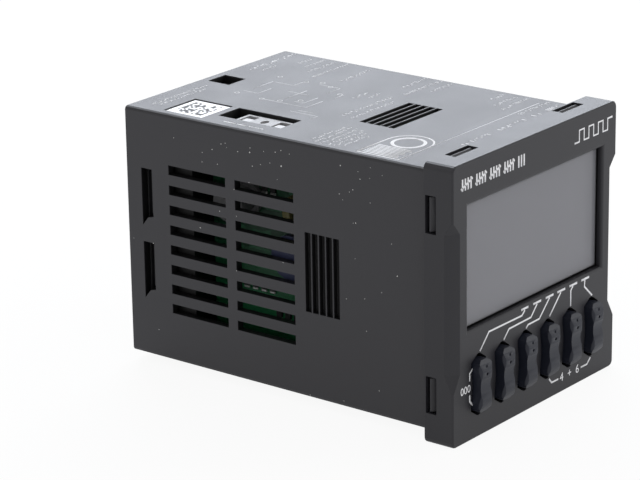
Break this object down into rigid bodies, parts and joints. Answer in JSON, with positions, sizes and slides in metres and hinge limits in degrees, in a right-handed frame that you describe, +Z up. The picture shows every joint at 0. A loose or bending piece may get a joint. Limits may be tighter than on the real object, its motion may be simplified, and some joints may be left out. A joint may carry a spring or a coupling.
{
  "type": "panel counter",
  "caption": "Square panel-mount electronic counter with a display window, a row of rocker keys, a vented square case and rear screw terminals.",
  "frame": {"origin": "on the plane that it stands on, below the middle of the whole object", "axes": "+X to the right seen from the front, +Y from the front into the panel, +Z up"},
  "size_m": [0.048, 0.072, 0.048],
  "materials": {
    "bezel_plastic": "fine satin grain",
    "case_plastic": "fine satin grain",
    "key_plastic": "smooth satin",
    "lens_plastic": "clear, glossy",
    "lcd_glass": "grey liquid-crystal glass, switched off",
    "guide_plastic": "milky diffuser",
    "frame_plastic": "satin",
    "mat_rubber": "matt silicone",
    "board_laminate": "green solder mask",
    "connector_plastic": "natural nylon",
    "core_steel": "varnished laminations",
    "bobbin_tape": "winding tape",
    "relay_plastic": "moulded cover",
    "capacitor_sleeve": "shrink sleeve",
    "ceramic_coating": "dipped resin",
    "ferrite": "bare ferrite",
    "chip_plastic": "moulded epoxy",
    "switch_plastic": "satin",
    "slider_plastic": "satin",
    "block_plastic": "satin",
    "plated_steel": "nickel plated"
  },
  "bodies": {
    "counter": {"front_bezel": "bezel_plastic", "display_lens": "lens_plastic", "lcd_panel": "lcd_glass", "light_guide": "guide_plastic", "lcd_frame": "frame_plastic", "key_mat": "mat_rubber", "front_board": "board_laminate", "main_board": "board_laminate", "power_board": "board_laminate", "main_board_connector": "connector_plastic", "power_board_connector": "connector_plastic", "transformer_core": "core_steel", "transformer_bobbin": "bobbin_tape", "relay": "relay_plastic", "supply_capacitor": "capacitor_sleeve", "filter_capacitor": "capacitor_sleeve", "noise_capacitor": "ceramic_coating", "choke": "ferrite", "controller_chip": "chip_plastic", "switch_body": "switch_plastic", "case_body": "case_plastic", "terminal_block": "block_plastic", "terminal_plate_1": "plated_steel", "terminal_plate_2": "plated_steel", "terminal_plate_3": "plated_steel", "terminal_plate_4": "plated_steel", "terminal_plate_5": "plated_steel", "terminal_plate_6": "plated_steel", "terminal_plate_7": "plated_steel", "terminal_plate_8": "plated_steel", "terminal_plate_9": "plated_steel", "terminal_plate_10": "plated_steel", "terminal_plate_11": "plated_steel", "terminal_plate_12": "plated_steel", "terminal_screw_1": "plated_steel", "terminal_screw_2": "plated_steel", "terminal_screw_3": "plated_steel", "terminal_screw_4": "plated_steel", "terminal_screw_5": "plated_steel", "terminal_screw_6": "plated_steel", "terminal_screw_7": "plated_steel", "terminal_screw_8": "plated_steel", "terminal_screw_9": "plated_steel", "terminal_screw_10": "plated_steel", "terminal_screw_11": "plated_steel", "terminal_screw_12": "plated_steel"},
    "rocker_1": {"key_1": "key_plastic"},
    "rocker_2": {"key_2": "key_plastic"},
    "rocker_3": {"key_3": "key_plastic"},
    "rocker_4": {"key_4": "key_plastic"},
    "rocker_5": {"key_5": "key_plastic"},
    "rocker_6": {"key_6": "key_plastic"},
    "slider_1": {"switch_slider_1": "slider_plastic"},
    "slider_2": {"switch_slider_2": "slider_plastic"}
  },
  "joints": [
    {"name": "key_1_rock", "type": "hinge", "parent": "counter", "child": "rocker_1", "pos_m": [-0.01675, -0.03045, 0.0093], "axis": [1, 0, 0], "range_deg": [-4, 4], "stiffness_Nm_per_rad": 0.04},
    {"name": "key_2_rock", "type": "hinge", "parent": "counter", "child": "rocker_2", "pos_m": [-0.01005, -0.03045, 0.0093], "axis": [1, 0, 0], "range_deg": [-4, 4], "stiffness_Nm_per_rad": 0.04},
    {"name": "key_3_rock", "type": "hinge", "parent": "counter", "child": "rocker_3", "pos_m": [-0.00335, -0.03045, 0.0093], "axis": [1, 0, 0], "range_deg": [-4, 4], "stiffness_Nm_per_rad": 0.04},
    {"name": "key_4_rock", "type": "hinge", "parent": "counter", "child": "rocker_4", "pos_m": [0.00335, -0.03045, 0.0093], "axis": [1, 0, 0], "range_deg": [-4, 4], "stiffness_Nm_per_rad": 0.04},
    {"name": "key_5_rock", "type": "hinge", "parent": "counter", "child": "rocker_5", "pos_m": [0.01005, -0.03045, 0.0093], "axis": [1, 0, 0], "range_deg": [-4, 4], "stiffness_Nm_per_rad": 0.04},
    {"name": "key_6_rock", "type": "hinge", "parent": "counter", "child": "rocker_6", "pos_m": [0.01675, -0.03045, 0.0093], "axis": [1, 0, 0], "range_deg": [-4, 4], "stiffness_Nm_per_rad": 0.04},
    {"name": "slider_1_shift", "type": "slide", "parent": "counter", "child": "slider_1", "axis": [1, 0, 0], "range_m": [0, 0.0008]},
    {"name": "slider_2_shift", "type": "slide", "parent": "counter", "child": "slider_2", "axis": [1, 0, 0], "range_m": [0, 0.0008]}
  ]
}
